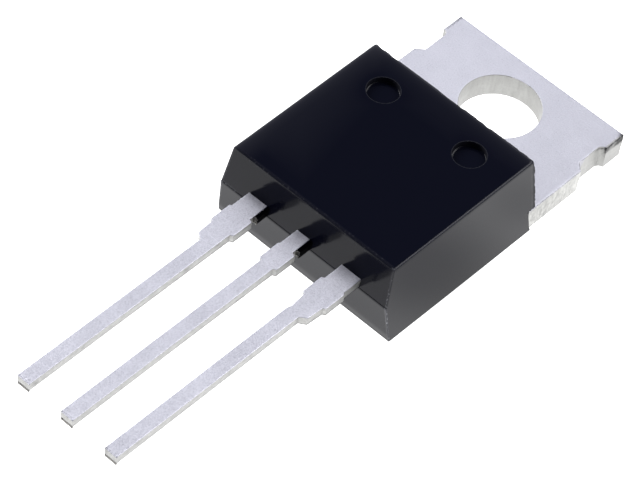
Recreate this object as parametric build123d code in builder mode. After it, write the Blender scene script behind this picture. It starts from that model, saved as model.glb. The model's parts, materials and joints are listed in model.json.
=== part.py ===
from build123d import *
import os
from math import atan2, degrees, hypot, radians, tan

# Three-lead adjustable voltage regulator in a moulded power package with a heat tab.
#
# Frame: millimetres, +Z up. The part lies on its flat back, which is Z = 0. The origin is
# where the axis of the mounting hole meets the back. The tab points to +Y, the leads to -Y,
# and the lead row runs along X with the adjust lead at -X and the input lead at +X.

# ---------------------------------------------------------------- driving dimensions

# heat tab: the thick-gauge stamping that the screw holds against a heat sink
tab_thickness = 1.30
hole_diameter = 3.80
far_edge = 2.83             # hole axis to the free edge of the tab
ear_half_width = 4.90       # the two ears at the free edge
ear_length = 1.19
notch_depth = 0.28          # side notches behind the ears, with quarter-round ends
notch_length = 1.88
shoulder_step = 0.10        # how far the plate between notches and body stands out past the ears
edge_round = 0.08           # the rolled edge that punching leaves on the top side

# moulded body
body_height = 4.35
body_top_width = 9.27
body_top_length = 8.98
body_setback = 3.64         # hole axis to the near edge of the body's top
flank_setback = 3.75        # hole axis to the resin beside the tab
side_draft = 6.0            # degrees, both flanks and the tab end
upper_draft = 10.8          # degrees, lead end above the parting line
lower_draft = 6.5           # degrees, lead end below the parting line
corner_round = 0.15
top_edge_round = 0.05

# ejector-pin marks in the body's top
mark_diameter = 1.52
mark_depth = 0.28
mark_spacing = 5.06
mark_inset = 1.81           # from the near edge of the body's top

# leads: the thin-gauge half of the same strip
lead_pitch = 2.54
lead_width = 0.66
lead_thickness = 0.45
lead_height = 2.28          # back of the part to the underside of the leads
lead_free_length = 14.04    # parting line to the tips
tip_chamfer = 0.08
lead_edge_round = 0.04
dam_bar_offset = 0.97       # parting line to the cut-off dam bar
dam_bar_length = 1.20
dam_bar_stub = 0.48         # lead centre to the cut face of a dam-bar stub
dam_bar_slope = 0.07        # length of the step on to each stub
shoulder_offset = 3.11      # parting line to the end of the wide root
shoulder_slope = 0.22

# half-widths of the wide roots, measured from each lead's own centre line
inner_root = 0.345          # side that faces the centre lead
outer_root = 0.735          # side that faces out
outer_stub = 0.825
outer_waist = 0.70
outer_shoulder = 0.65
centre_root_left = 0.42
centre_root_right = 0.29
adjust_inner_root = 0.315
input_inner_nick = 0.25     # the small nick where the input lead's root ends

# resin that flashed out between the leads, trimmed level with the dam-bar stubs
flash_length = 0.72
flash_root = 0.50           # how far the flash reaches back into the body

# the tab's inner end, under the die
header_half_width = 4.10    # bare on the back of the body
header_end = 9.50           # hole axis to the end of the bare metal
lock_lip = 0.40             # upper edge that the resin grips from below
lock_lip_thickness = 0.55

# neck that joins the header to the centre lead
neck_width = 1.80
neck_start = 0.45           # flat run out of the header
neck_rise_length = 1.00
neck_bend = 0.35

# bond pads at the inner ends of the outer leads
pad_inner = 1.65            # centre plane to the inner edge
pad_outer = 4.00
pad_start = 10.35           # hole axis to the near edge
pad_length = 1.40

# die and its solder
die_width = 2.50
die_length = 2.10
die_thickness = 0.30
die_centre = 6.90           # hole axis to the die's centre
solder_margin = 0.10
solder_thickness = 0.05

# bond wires
thin_wire = 0.15
thick_wire = 0.25
wire_sides = 8              # flats round the wire
wire_rise = 0.45            # loop's crown above the lead plane
wire_bend_share = 0.45      # bend radius, as a share of the loop's rise or of its run
foot_thickness = 0.08
foot_length_share = 3.0     # flattened foot, in wire diameters
foot_width_share = 1.4
die_bond_side = 0.50        # die's side to the middle of a foot
die_bond_end = 0.42         # die's lead end to the middle of a foot
header_bond_end = 0.50      # bare header's end to the middle of a foot

# blocks that only cut run this far past what they cut
cut_margin = 1.0

# ---------------------------------------------------------------- derived places

top_lead_end_y = -(body_setback + body_top_length)
parting_y = top_lead_end_y - (body_height - lead_height) * tan(radians(upper_draft))
base_lead_end_y = parting_y + lead_height * tan(radians(lower_draft))
lead_top = lead_height + lead_thickness
lead_half = lead_width / 2
tip_y = parting_y - lead_free_length
dam_bar_y = parting_y - dam_bar_offset
dam_bar_end_y = dam_bar_y - dam_bar_length
shoulder_y = parting_y - shoulder_offset
ear_inner_y = far_edge - ear_length
notch_end_y = ear_inner_y - notch_length
notch_half_width = ear_half_width - notch_depth
shoulder_half_width = ear_half_width + shoulder_step
neck_end_y = -(header_end + lock_lip + neck_start + neck_rise_length)
pad_end_y = -(pad_start + pad_length)
die_base = tab_thickness + solder_thickness
die_top = die_base + die_thickness
wire_crown = lead_top + wire_rise


def half_width_at(z):
    """Half-width of the drafted body at a height above the back."""
    return body_top_width / 2 + (body_height - z) * tan(radians(side_draft))


def tab_end_at(z):
    """Y of the body's tab-end wall at a height above the back."""
    return -body_setback + (body_height - z) * tan(radians(side_draft))


# ---------------------------------------------------------------- shared shapes


def lead_side(centre, side, root, stub, waist, shoulder, start_y):
    """Corners down one edge of a lead, from its root inside the body to its tip."""
    steps = [
        (root, start_y),
        (root, dam_bar_y),
        (stub, dam_bar_y - dam_bar_slope),
        (stub, dam_bar_end_y),
        (waist, dam_bar_end_y - dam_bar_slope),
        (shoulder, shoulder_y),
        (lead_half, shoulder_y - shoulder_slope),
        (lead_half, tip_y),
    ]
    return [(centre + side * offset, y) for offset, y in steps]


def dress_lead(lead):
    """Nip the tip's upper edge and roll the long upper edges."""
    tip = lead.edges().filter_by(Axis.X).group_by(Axis.Y)[0].sort_by(Axis.Z)[-1]
    chamfer(tip, tip_chamfer)
    long_edges = lead.edges().filter_by(Axis.Y).group_by(Axis.Z)[-1]
    free = long_edges.filter_by_position(Axis.Y, tip_y, shoulder_y - shoulder_slope)
    fillet(free, lead_edge_round)


def wire_loop(start, end, start_z, end_z, diameter):
    """A bond wire: two flattened feet and a round loop between them."""
    run = hypot(end[0] - start[0], end[1] - start[1])
    heading = degrees(atan2(end[1] - start[1], end[0] - start[0]))
    ahead = Vector(1, 0, 0).rotate(Axis.Z, heading)
    across = Vector(0, -1, 0).rotate(Axis.Z, heading)
    along = Plane(origin=(*start, 0), x_dir=ahead, z_dir=across)
    bend = wire_bend_share * min(run, wire_crown - max(start_z, end_z))
    with BuildPart() as wire:
        with BuildLine(along) as path:
            FilletPolyline(
                (0, start_z + foot_thickness),
                (0, wire_crown),
                (run, wire_crown),
                (run, end_z + foot_thickness),
                radius=bend,
            )
        with BuildSketch(Plane(origin=path.line @ 0, z_dir=path.line % 0)):
            RegularPolygon(diameter / 2, wire_sides)
        sweep(path=path.line)
        for place, level in ((start, start_z), (end, end_z)):
            with BuildSketch(Plane(origin=(*place, level), x_dir=ahead, z_dir=(0, 0, 1))):
                SlotOverall(foot_length_share * diameter, foot_width_share * diameter)
            extrude(amount=foot_thickness)
    return wire


# ---------------------------------------------------------------- heat tab with the centre lead

with BuildPart() as heat_tab:
    # exposed plate: ears, notches and shoulders
    with BuildSketch():
        with BuildLine():
            Polyline((0, far_edge), (ear_half_width, far_edge), (ear_half_width, ear_inner_y))
            ear_end = CenterArc((ear_half_width, ear_inner_y - notch_depth), notch_depth, 90, 90)
            shoulder_end = CenterArc((ear_half_width, notch_end_y + notch_depth), notch_depth, 180, 90)
            Line(ear_end @ 1, shoulder_end @ 0)
            Polyline(
                shoulder_end @ 1,
                (shoulder_half_width, notch_end_y),
                (shoulder_half_width, -flank_setback),
                (0, -flank_setback),
            )
            mirror(about=Plane.YZ)
        make_face()
    extrude(amount=tab_thickness)
    Hole(hole_diameter / 2)
    top_edges = edges().group_by(Axis.Z)[-1]
    punched = top_edges.sort_by(Axis.Y)[1:]
    fillet(punched, edge_round)
    # header under the body: a bare foot, and a lip that the resin grips
    for half_width, end, bottom in (
        (header_half_width, header_end, 0),
        (header_half_width + lock_lip, header_end + lock_lip, tab_thickness - lock_lip_thickness),
    ):
        with BuildSketch(Plane.XY.offset(bottom)):
            with Locations((0, -flank_setback)):
                Rectangle(2 * half_width, end - flank_setback, align=(Align.CENTER, Align.MAX))
        extrude(amount=tab_thickness - bottom)
    # bent neck up to the lead plane
    neck_from_y = -(header_end + lock_lip / 2)
    neck_low = tab_thickness - lead_thickness / 2
    neck_high = lead_height + lead_thickness / 2
    with BuildSketch(Plane.YZ):
        with BuildLine() as neck_path:
            FilletPolyline(
                (neck_from_y, neck_low),
                (-(header_end + lock_lip + neck_start), neck_low),
                (neck_end_y, neck_high),
                (neck_end_y - neck_start, neck_high),
                radius=neck_bend,
            )
        trace(line_width=lead_thickness)
    extrude(amount=neck_width / 2, both=True)
    # centre lead
    centre_start_y = neck_end_y - neck_start
    below_stub = (dam_bar_stub, lead_half, lead_half)
    left_edge = lead_side(0, -1, centre_root_left, *below_stub, centre_start_y)
    right_edge = lead_side(0, 1, centre_root_right, *below_stub, centre_start_y)
    with BuildSketch(Plane.XY.offset(lead_height)):
        with BuildLine():
            Polyline(*left_edge, *reversed(right_edge), close=True)
        make_face()
    extrude(amount=lead_thickness)
    dress_lead(heat_tab)
heat_tab.part.label = "heat_tab"

# ---------------------------------------------------------------- outer leads


def pad_corners(side):
    """Outer and inner corners of the bond pad on one side of the part."""
    outer = [(side * pad_outer, -pad_start), (side * pad_outer, pad_end_y)]
    inner = [(side * pad_inner, -pad_start), (side * pad_inner, pad_end_y)]
    return outer, inner


with BuildPart() as adjust_lead:
    outer_corners, inner_corners = pad_corners(-1)
    outer_steps = (outer_root, outer_stub, outer_waist, outer_shoulder)
    inner_steps = (adjust_inner_root, dam_bar_stub, lead_half, lead_half)
    outer_edge = lead_side(-lead_pitch, -1, *outer_steps, pad_end_y)
    inner_edge = lead_side(-lead_pitch, 1, *inner_steps, pad_end_y)
    with BuildSketch(Plane.XY.offset(lead_height)):
        with BuildLine():
            Polyline(*outer_corners, *outer_edge, *reversed(inner_corners + inner_edge), close=True)
        make_face()
    extrude(amount=lead_thickness)
    dress_lead(adjust_lead)
adjust_lead.part.label = "adjust_lead"

with BuildPart() as input_lead:
    outer_corners, inner_corners = pad_corners(1)
    inner_steps = (inner_root, dam_bar_stub, inner_root, input_inner_nick)
    outer_edge = lead_side(lead_pitch, 1, *outer_steps, pad_end_y)
    inner_edge = lead_side(lead_pitch, -1, *inner_steps, pad_end_y)
    with BuildSketch(Plane.XY.offset(lead_height)):
        with BuildLine():
            Polyline(*inner_corners, *inner_edge, *reversed(outer_corners + outer_edge), close=True)
        make_face()
    extrude(amount=lead_thickness)
    dress_lead(input_lead)
input_lead.part.label = "input_lead"

# ---------------------------------------------------------------- die, solder and wires

with BuildPart() as die_solder:
    with BuildSketch(Plane.XY.offset(tab_thickness)):
        with Locations((0, -die_centre)):
            Rectangle(die_width + 2 * solder_margin, die_length + 2 * solder_margin)
    extrude(amount=solder_thickness)
die_solder.part.label = "die_solder"

with BuildPart() as silicon_die:
    with BuildSketch(Plane.XY.offset(die_base)):
        with Locations((0, -die_centre)):
            Rectangle(die_width, die_length)
    extrude(amount=die_thickness)
silicon_die.part.label = "silicon_die"

bond_x = die_width / 2 - die_bond_side
bond_y = -(die_centre + die_length / 2 - die_bond_end)
header_bond_y = -(header_end - header_bond_end)
pad_middle_x = (pad_inner + pad_outer) / 2
pad_middle_y = -(pad_start + pad_length / 2)

adjust_feet = ((-bond_x, bond_y), (-pad_middle_x, pad_middle_y))
adjust_wire = wire_loop(*adjust_feet, die_top, lead_top, thin_wire)
adjust_wire.part.label = "adjust_wire"

input_feet = ((bond_x, bond_y), (pad_middle_x, pad_middle_y))
input_wire = wire_loop(*input_feet, die_top, lead_top, thick_wire)
input_wire.part.label = "input_wire"

output_feet = ((0, bond_y), (0, header_bond_y))
output_wire = wire_loop(*output_feet, die_top, tab_thickness, thick_wire)
output_wire.part.label = "output_wire"

# ---------------------------------------------------------------- moulded body

metal_and_die = (heat_tab, adjust_lead, input_lead, die_solder, silicon_die,
                 adjust_wire, input_wire, output_wire)

with BuildPart() as moulded_body:
    # two drafted blocks that meet at the parting line of the lead end
    base_level = (0, base_lead_end_y)
    parting_level = (lead_height, parting_y)
    top_level = (body_height, top_lead_end_y)
    for levels in ((base_level, parting_level), (parting_level, top_level)):
        for z, lead_end_y in levels:
            length = tab_end_at(z) - lead_end_y
            with BuildSketch(Plane.XY.offset(z)):
                with Locations((0, lead_end_y + length / 2)):
                    RectangleRounded(2 * half_width_at(z), length, corner_round)
        loft(ruled=True)
    fillet(faces().sort_by(Axis.Z)[-1].edges(), top_edge_round)
    # the resin stands back beside the tab, up to the tab's top face
    with BuildSketch():
        with Locations((0, -flank_setback)):
            Rectangle(2 * (half_width_at(0) + cut_margin), flank_setback, align=(Align.CENTER, Align.MIN))
    extrude(amount=tab_thickness, mode=Mode.SUBTRACT)
    # ejector-pin marks
    with BuildSketch(Plane.XY.offset(body_height)):
        with Locations((0, -(body_setback + mark_inset))):
            with GridLocations(mark_spacing, 0, 2, 1):
                Circle(mark_diameter / 2)
    extrude(amount=-mark_depth, mode=Mode.SUBTRACT)
    # trimmed flash on the right-hand sides of the adjust and centre leads
    for centre, root in ((-lead_pitch, adjust_inner_root), (0, centre_root_right)):
        with BuildSketch(Plane.XY.offset(lead_height)):
            with Locations((centre + root, parting_y - flash_length)):
                Rectangle(dam_bar_stub - root, flash_length + flash_root, align=(Align.MIN, Align.MIN))
        extrude(amount=lead_thickness)
    # everything that the resin was moulded around
    for piece in metal_and_die:
        add(piece.part, mode=Mode.SUBTRACT)
moulded_body.part.label = "moulded_body"

# ---------------------------------------------------------------- one STEP file per piece

os.makedirs("parts", exist_ok=True)
export_step(moulded_body.part, "parts/moulded_body.step")
export_step(heat_tab.part, "parts/heat_tab.step")
export_step(adjust_lead.part, "parts/adjust_lead.step")
export_step(input_lead.part, "parts/input_lead.step")
export_step(die_solder.part, "parts/die_solder.step")
export_step(silicon_die.part, "parts/silicon_die.step")
export_step(adjust_wire.part, "parts/adjust_wire.step")
export_step(input_wire.part, "parts/input_wire.step")
export_step(output_wire.part, "parts/output_wire.step")
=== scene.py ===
# %% [markdown]
# # Dressing an adjustable voltage regulator
# The part is a black moulded body on a silver-plated frame: a thick tab with a screw hole and
# three thin leads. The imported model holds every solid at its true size, so this lesson is about
# finish: how the plating, the cut metal and the moulded resin take light.

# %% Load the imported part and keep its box
import bmesh
import bpy
import json
import math
from mathutils import Matrix, Vector, noise

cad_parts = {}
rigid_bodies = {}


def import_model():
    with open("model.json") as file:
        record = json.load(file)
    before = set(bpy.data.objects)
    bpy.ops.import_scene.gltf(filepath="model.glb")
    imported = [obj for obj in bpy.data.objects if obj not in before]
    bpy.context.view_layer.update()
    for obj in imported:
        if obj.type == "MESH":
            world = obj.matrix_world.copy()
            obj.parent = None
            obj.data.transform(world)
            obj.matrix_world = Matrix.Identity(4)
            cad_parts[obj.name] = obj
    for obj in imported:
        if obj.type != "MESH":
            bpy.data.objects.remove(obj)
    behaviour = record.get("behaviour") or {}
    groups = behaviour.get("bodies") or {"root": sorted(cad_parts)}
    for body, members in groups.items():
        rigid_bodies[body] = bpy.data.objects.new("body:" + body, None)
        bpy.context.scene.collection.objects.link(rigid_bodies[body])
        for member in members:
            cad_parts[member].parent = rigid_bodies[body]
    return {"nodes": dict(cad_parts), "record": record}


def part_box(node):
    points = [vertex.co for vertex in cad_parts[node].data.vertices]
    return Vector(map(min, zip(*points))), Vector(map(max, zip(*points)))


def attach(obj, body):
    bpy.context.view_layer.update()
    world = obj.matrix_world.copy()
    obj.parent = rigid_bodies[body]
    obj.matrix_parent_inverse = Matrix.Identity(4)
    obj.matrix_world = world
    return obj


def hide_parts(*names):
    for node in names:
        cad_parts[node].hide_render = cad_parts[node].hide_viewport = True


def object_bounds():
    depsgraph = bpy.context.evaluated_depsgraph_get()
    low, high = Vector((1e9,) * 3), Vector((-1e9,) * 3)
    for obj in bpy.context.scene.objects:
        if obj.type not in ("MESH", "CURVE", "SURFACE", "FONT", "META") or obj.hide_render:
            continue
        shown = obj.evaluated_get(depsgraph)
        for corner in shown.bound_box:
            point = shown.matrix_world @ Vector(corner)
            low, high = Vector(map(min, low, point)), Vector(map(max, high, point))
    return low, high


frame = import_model()
cad_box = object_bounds()
nodes = frame["nodes"]
low, high = (Vector(corner) for corner in cad_box)
print("pieces in the frame:", ", ".join(sorted(nodes)))
print("overall size in mm:", [round(1000 * side, 2) for side in high - low])

# %% [markdown]
# ## The camera
# A long lens from far away keeps the edges of a small part nearly parallel, which is how
# components are usually shown. The camera could be placed by its coordinates, but an aim point
# with a turn, a height, a roll and a distance is easier to read and to change.

# %% Camera from an aim point, a turn, a height and a roll
MM = 0.001
centre = (low + high) / 2
aim = centre + Vector((0.368, -0.207, 0.105)) * MM
camera_turn = math.radians(-52.531)
camera_height = math.radians(49.667)
camera_roll = math.radians(7.568)
camera_distance = 156.94 * MM
camera_lens = 206.53


def placed(name, data):
    """Put a camera, a lamp or a mesh on an object of its own in the scene."""
    thing = bpy.data.objects.new(name, data)
    bpy.context.scene.collection.objects.link(thing)
    return thing


outward = Vector((
    math.cos(camera_height) * math.cos(camera_turn),
    math.cos(camera_height) * math.sin(camera_turn),
    math.sin(camera_height),
))
camera_data = bpy.data.cameras.new("camera")
camera_data.lens = camera_lens
camera_data.sensor_width = 36
camera_data.clip_start = 0.005
camera = placed("camera", camera_data)
level = (-outward).to_track_quat("-Z", "Y").to_matrix().to_4x4()
tilt = Matrix.Rotation(camera_roll, 4, "Z")
camera.matrix_world = Matrix.Translation(aim + outward * camera_distance) @ level @ tilt
bpy.context.scene.camera = camera
print("camera at", [round(1000 * c, 1) for c in camera.location], "mm")

# %% [markdown]
# ## Materials as node trees
# Each finish is a small tree of nodes that works in the part's own coordinates, so grain keeps
# its true size on every piece. Trees can be drawn by hand, but helpers that each add one node
# keep them readable. Wear could be painted on an image; here it is stored on the points of the
# mesh, so it follows the real edges.

# %% Helpers that add nodes to a material
def new_material(name):
    material = bpy.data.materials.new(name)
    material.use_nodes = True
    tree = material.node_tree
    return material, tree, tree.nodes["Principled BSDF"]


def fill(tree, node, sockets):
    """Set each of a node's sockets to a plain value, or link it to another node."""
    for name, value in sockets.items():
        if isinstance(value, bpy.types.NodeSocket):
            tree.links.new(value, node.inputs[name])
        else:
            node.inputs[name].default_value = value


def add_node(tree, kind, sockets, **settings):
    made = tree.nodes.new("ShaderNode" + kind)
    for name, value in settings.items():
        setattr(made, name, value)
    fill(tree, made, sockets)
    return made.outputs[0]


def object_place(tree, stretch=(1, 1, 1), turn=0.0):
    place = add_node(tree, "TexCoord", {}).node.outputs["Object"]
    return add_node(tree, "Mapping", {"Vector": place, "Rotation": (0, 0, turn), "Scale": stretch})


def noise_value(tree, where, scale, detail=3.0, roughness=0.5):
    sockets = {"Vector": where, "Scale": scale, "Detail": detail, "Roughness": roughness}
    return add_node(tree, "TexNoise", sockets)

# %% Helpers that turn numbers into colours and bumps
def spread(tree, value, from_low, from_high, to_low, to_high):
    """A value moved softly from one range to another."""
    sockets = {"Value": value, "From Min": from_low, "From Max": from_high,
               "To Min": to_low, "To Max": to_high}
    return add_node(tree, "MapRange", sockets, interpolation_type="SMOOTHSTEP")


def sums(tree, operation, first, second):
    return add_node(tree, "Math", {0: first, 1: second}, operation=operation)


def mixed(tree, first, second, share):
    """A share of the first value with the rest made up of the second."""
    second_part = sums(tree, "MULTIPLY", second, 1 - share)
    return sums(tree, "ADD", sums(tree, "MULTIPLY", first, share), second_part)


def colours(tree, value, stops):
    output = add_node(tree, "ValToRGB", {"Fac": value})
    ramp = output.node.color_ramp
    while len(ramp.elements) < len(stops):
        ramp.elements.new(0.5)
    for element, (position, colour) in zip(ramp.elements, stops):
        element.position = position
        element.color = (*colour, 1)
    return output


def bumps(tree, height, depth, strength):
    return add_node(tree, "Bump", {"Height": height, "Distance": depth, "Strength": strength})


def mesh_value(tree, name):
    """A value stored on the points of a mesh; a mesh without it counts as 0."""
    return add_node(tree, "Attribute", {}, attribute_name=name).node.outputs["Fac"]

# %% [markdown]
# ## A glowing table
# Small parts are often laid on opal glass that is lit from below. It comes out as clean white,
# takes away the shadow, and gives the glossy resin something to reflect. A white floor under
# strong lamps would leave a grey shadow. The glow is weaker in three soft spots, where the part
# itself shades a real table.

# %% White table under the part
table_size = 0.6
table_gap = 0.02 * MM
full_glow = 1.9
shaded_glow = 1.0
# the three spots are painted shadow in the table's glow, where the part would shade a real table
# each spot: its middle and how it is squeezed, where it starts and ends in mm, its least share
side_shade = ((6.9, -8.3, 0), (1.0, 1.0, 1.0), 0.6, 5.4, 0.0)
front_shade = ((-0.5, -13.2, 0), (0.14, 1.0, 1.0), 0.3, 1.7, 0.57)
far_shade = ((6.5, -2.3, 0), (1.0, 1.0, 1.0), 0.3, 2.4, 0.6)

half = table_size / 2
square = ((-half, -half), (half, -half), (half, half), (-half, half))
sheet = bpy.data.meshes.new("table")
sheet.from_pydata([(*corner, low.z - table_gap) for corner in square], [], [(0, 1, 2, 3)])
plane = placed("table", sheet)
print("the table is", table_size, "m wide")

# %% Opal glass that is darker in three soft spots
def shade_share(tree, middle, squeeze, core, reach, least):
    """1 outside a soft spot on the table, down to the least at its core; sizes in mm."""
    place = add_node(tree, "TexCoord", {}).node.outputs["Object"]
    steps = {0: place, 1: tuple(c * MM for c in middle)}
    offset = add_node(tree, "VectorMath", steps, operation="SUBTRACT")
    squeezed = add_node(tree, "VectorMath", {0: offset, 1: squeeze}, operation="MULTIPLY")
    length = add_node(tree, "VectorMath", {0: squeezed}, operation="LENGTH").node.outputs["Value"]
    return spread(tree, length, core * MM, reach * MM, least, 1.0)


opal, opal_tree, opal_shader = new_material("opal_glass")
shares = [shade_share(opal_tree, *spot) for spot in (side_shade, front_shade, far_shade)]
open_share = sums(opal_tree, "MULTIPLY", shares[0], shares[1])
open_share = sums(opal_tree, "MULTIPLY", open_share, shares[2])
glow = spread(opal_tree, open_share, 0, 1, shaded_glow, full_glow)
glow.node.interpolation_type = "LINEAR"
fill(opal_tree, opal_shader, {"Base Color": (0.05, 0.05, 0.05, 1), "Roughness": 0.6,
                              "Emission Color": (1, 1, 1, 1), "Emission Strength": glow})
plane.data.materials.append(opal)
print("table glow from", shaded_glow, "to", full_glow)

# %% [markdown]
# ## Soft lamps
# Plated faces that look up are only bright if a lamp can pass its light to the camera off them.
# One large lamp stands behind the part, so the body shades the roots of the leads, and a low one
# on the left fills that shade. More lamps would wash out the resin, which a dim room keeps black.

# %% Two soft lamps and a dim room
lamp_distance = 1.5
lamp_colour = (0.955, 0.95, 0.98)


def soft_lamp(name, direction, size, power):
    lamp = bpy.data.lights.new(name, "AREA")
    lamp.shape = "DISK"
    lamp.size = size
    lamp.energy = power
    lamp.color = lamp_colour
    toward = Vector(direction).normalized()
    turned = toward.to_track_quat("Z", "Y").to_matrix().to_4x4()
    placed(name, lamp).matrix_world = Matrix.Translation(centre + toward * lamp_distance) @ turned


soft_lamp("back_lamp", (0.25, 0.60, 0.76), 1.4, 19)
soft_lamp("left_lamp", (-0.85, 0.00, 0.51), 1.0, 29)
room = bpy.data.worlds.new("dim_room")
room.use_nodes = True
fill(room.node_tree, room.node_tree.nodes["Background"], {"Color": (0.10, 0.11, 0.16, 1)})
bpy.context.scene.world = room
bpy.context.scene.view_settings.view_transform = "Standard"
print("two lamps stand", lamp_distance, "m away")

# %% [markdown]
# ## Silver plating
# The frame is punched from copper strip and plated with a matt, faintly blue-white metal. A
# brushed texture would be wrong, since nothing brushed it, so the tree mixes two noises for
# clouds and grain and adds a thin stretched one for scratches. A slow slope of painted light
# makes one side of the tab a touch brighter.

# %% Plating on the rolled faces
# the shade value on the mesh holds painted shade and painted light as well as real stains and smudges, and
# pulls the tone towards this dark colour
stain_and_shade = (0.045, 0.045, 0.045)
shade_and_stain_pull = 0.5            # how far a full shade value pulls the tone towards the dark stain-and-shade colour
cloud_scale, grain_scale = 900, 17000       # waves per metre
scratch_stretch, scratch_pull = (900, 14000, 900), 0.15
plating_relief = 0.010 * MM


def stained_and_shaded(tree, tone, dull, bright, dull_at, bright_at):
    """Colour for a tone, pulled down by the shade value on the mesh: painted shade and light, and stains.
    """
    pull = sums(tree, "MULTIPLY", mesh_value(tree, "shade"), shade_and_stain_pull)
    stops = ((0.0, stain_and_shade), (dull_at, dull), (bright_at, bright))
    return colours(tree, sums(tree, "SUBTRACT", tone, pull), stops)


def plating(name, dull, bright, rough_low, rough_high, scratch_turn, cloud_share, painted_light_slope=0.0):
    material, tree, shader = new_material(name)
    place = object_place(tree)
    cloud = noise_value(tree, place, cloud_scale, 4.0, 0.6)
    fine = noise_value(tree, place, grain_scale, 2.0, 0.7)
    scratch_place = object_place(tree, scratch_stretch, scratch_turn)
    scratch = spread(tree, noise_value(tree, scratch_place, 1.0, 1.0), 0.70, 0.76, 0.0, 1.0)
    tone = mixed(tree, cloud, fine, cloud_share)
    tone = sums(tree, "ADD", tone, sums(tree, "MULTIPLY", scratch, scratch_pull))
    # painted light: the colour is scaled along X, so one side of the tab is a touch brighter
    across = add_node(tree, "SeparateXYZ", {0: place})
    share = sums(tree, "ADD", sums(tree, "MULTIPLY", across, painted_light_slope / MM), 1.0)
    colour = stained_and_shaded(tree, tone, dull, bright, 0.38, 0.62)
    light_sloped_colour = add_node(tree, "VectorMath", {0: colour, "Scale": share}, operation="SCALE")
    rough = spread(tree, cloud, 0.3, 0.7, rough_low, rough_high)
    fill(tree, shader, {"Metallic": 1.0, "Base Color": light_sloped_colour, "Roughness": rough,
                        "Normal": bumps(tree, tone, plating_relief, 1.0)})
    return material


# painted light: the slope is a share of the colour for each mm across the tab
tab_plating = plating("tab_plating", (0.61, 0.61, 0.65), (0.68, 0.68, 0.72), 0.49, 0.51, 0.5, 0.15,
                      painted_light_slope=-0.013)
lead_plating = plating("lead_plating", (0.545, 0.545, 0.583), (0.66, 0.66, 0.70), 0.48, 0.52, 1.2, 0.1)
print("made", tab_plating.name, "and", lead_plating.name)

# %% [markdown]
# ## Sheared metal
# Where the punch went through, the metal is dull and warm, with streaks that run with the punch.
# The rings give the torn shape, and this finish adds the streaks that are too small to model.
# The same tree in other colours serves smeared plating, the leads' sides and the dark burrs.

# %% Finish of the punched walls
punch_streaks = (5200, 5200, 900)           # waves per metre along each axis
streak_share = 0.65
sheared_relief = 0.008 * MM


def sheared(name, dull, bright, rough, stretch=punch_streaks):
    material, tree, shader = new_material(name)
    streak = noise_value(tree, object_place(tree, stretch), 1.0, 4.0, 0.6)
    fine = noise_value(tree, object_place(tree), 16000, 2.0)
    tone = mixed(tree, streak, fine, streak_share)
    colour = stained_and_shaded(tree, tone, dull, bright, 0.36, 0.64)
    fill(tree, shader, {"Metallic": 1.0, "Base Color": colour, "Roughness": rough,
                        "Normal": bumps(tree, tone, sheared_relief, 0.6)})
    return material


sheared_metal = sheared("sheared_metal", (0.345, 0.345, 0.335), (0.415, 0.415, 0.405), 0.55)
torn_metal = sheared("torn_metal", (0.34, 0.34, 0.33), (0.58, 0.58, 0.56), 0.55, (6500, 6500, 3200))
lead_side = sheared("lead_side", (0.31, 0.31, 0.305), (0.44, 0.44, 0.43), 0.52, (6500, 3200, 6500))
smeared_metal = sheared("smeared_metal", (0.35, 0.35, 0.375), (0.43, 0.43, 0.46), 0.55)
burr_metal = sheared("burr_metal", (0.06, 0.06, 0.055), (0.22, 0.21, 0.20), 0.42)
print("cut metal has a share of", streak_share, "of streaks")

# %% [markdown]
# ## Moulded resin
# The body is black epoxy filled with fine silica. The polished mould leaves a gloss and the
# filler a faint grain. One plain black would look like glass, so three values stored on the mesh
# add to it: wear for pale specks, painted light for a glow and a highlight along the top's edges,
# and broken for dull, torn edges.

# %% Gloss resin with fine grain and worn edges
painted_light_share = 0.014          # how pale one unit of painted light is
broken_roughness = 0.85
resin_relief = 0.0012 * MM


def moulding(name, dark, worn_and_lit, rough_low, rough_high, gloss):
    material, tree, shader = new_material(name)
    place = object_place(tree)
    cloud = noise_value(tree, place, 600, 4.0, 0.6)
    fine = noise_value(tree, place, 11000, 3.0, 0.7)
    speck = spread(tree, noise_value(tree, place, 9000, 2.0), 0.55, 0.72, 0.2, 1.0)
    # wear and painted light both pull the resin towards the pale colour
    wear_and_light_share = sums(tree, "MULTIPLY", mesh_value(tree, "wear"), speck)
    painted_light = sums(tree, "MULTIPLY", mesh_value(tree, "painted_light"), painted_light_share)
    wear_and_light_share = sums(tree, "MAXIMUM", wear_and_light_share, painted_light)
    colour = colours(tree, wear_and_light_share, ((0.0, dark), (1.0, worn_and_lit)))
    polish = spread(tree, cloud, 0.3, 0.7, rough_low, rough_high)
    torn = sums(tree, "MULTIPLY", mesh_value(tree, "broken"), broken_roughness)
    fill(tree, shader, {"IOR": 1.5, "Specular IOR Level": gloss, "Base Color": colour,
                        "Roughness": sums(tree, "ADD", polish, torn),
                        "Normal": bumps(tree, fine, resin_relief, 0.25)})
    return material


resin_dark = (0.0028, 0.0032, 0.0075)
moulded_resin = moulding("moulded_resin", resin_dark, (0.42, 0.42, 0.45), 0.115, 0.135, 0.155)
flash_resin = moulding("flash_resin", (0.0005, 0.0005, 0.0008), (0.02, 0.02, 0.02), 0.16, 0.3, 0.02)
print("made", moulded_resin.name, "and", flash_resin.name)

# %% [markdown]
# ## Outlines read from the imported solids
# The detailed pieces must keep the form of the solids that they stand for. Sizes could be typed
# in again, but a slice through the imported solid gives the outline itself, and it follows the
# model when a size changes. Each slice is walked round into closed loops of points.

# %% Copy a solid and clean up a loop
weld = 1e-7                 # metres; closer points of a mesh become one
same_place = 1e-4           # millimetres; closer points of a loop become one
straight_turn = math.radians(1.5)


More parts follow.
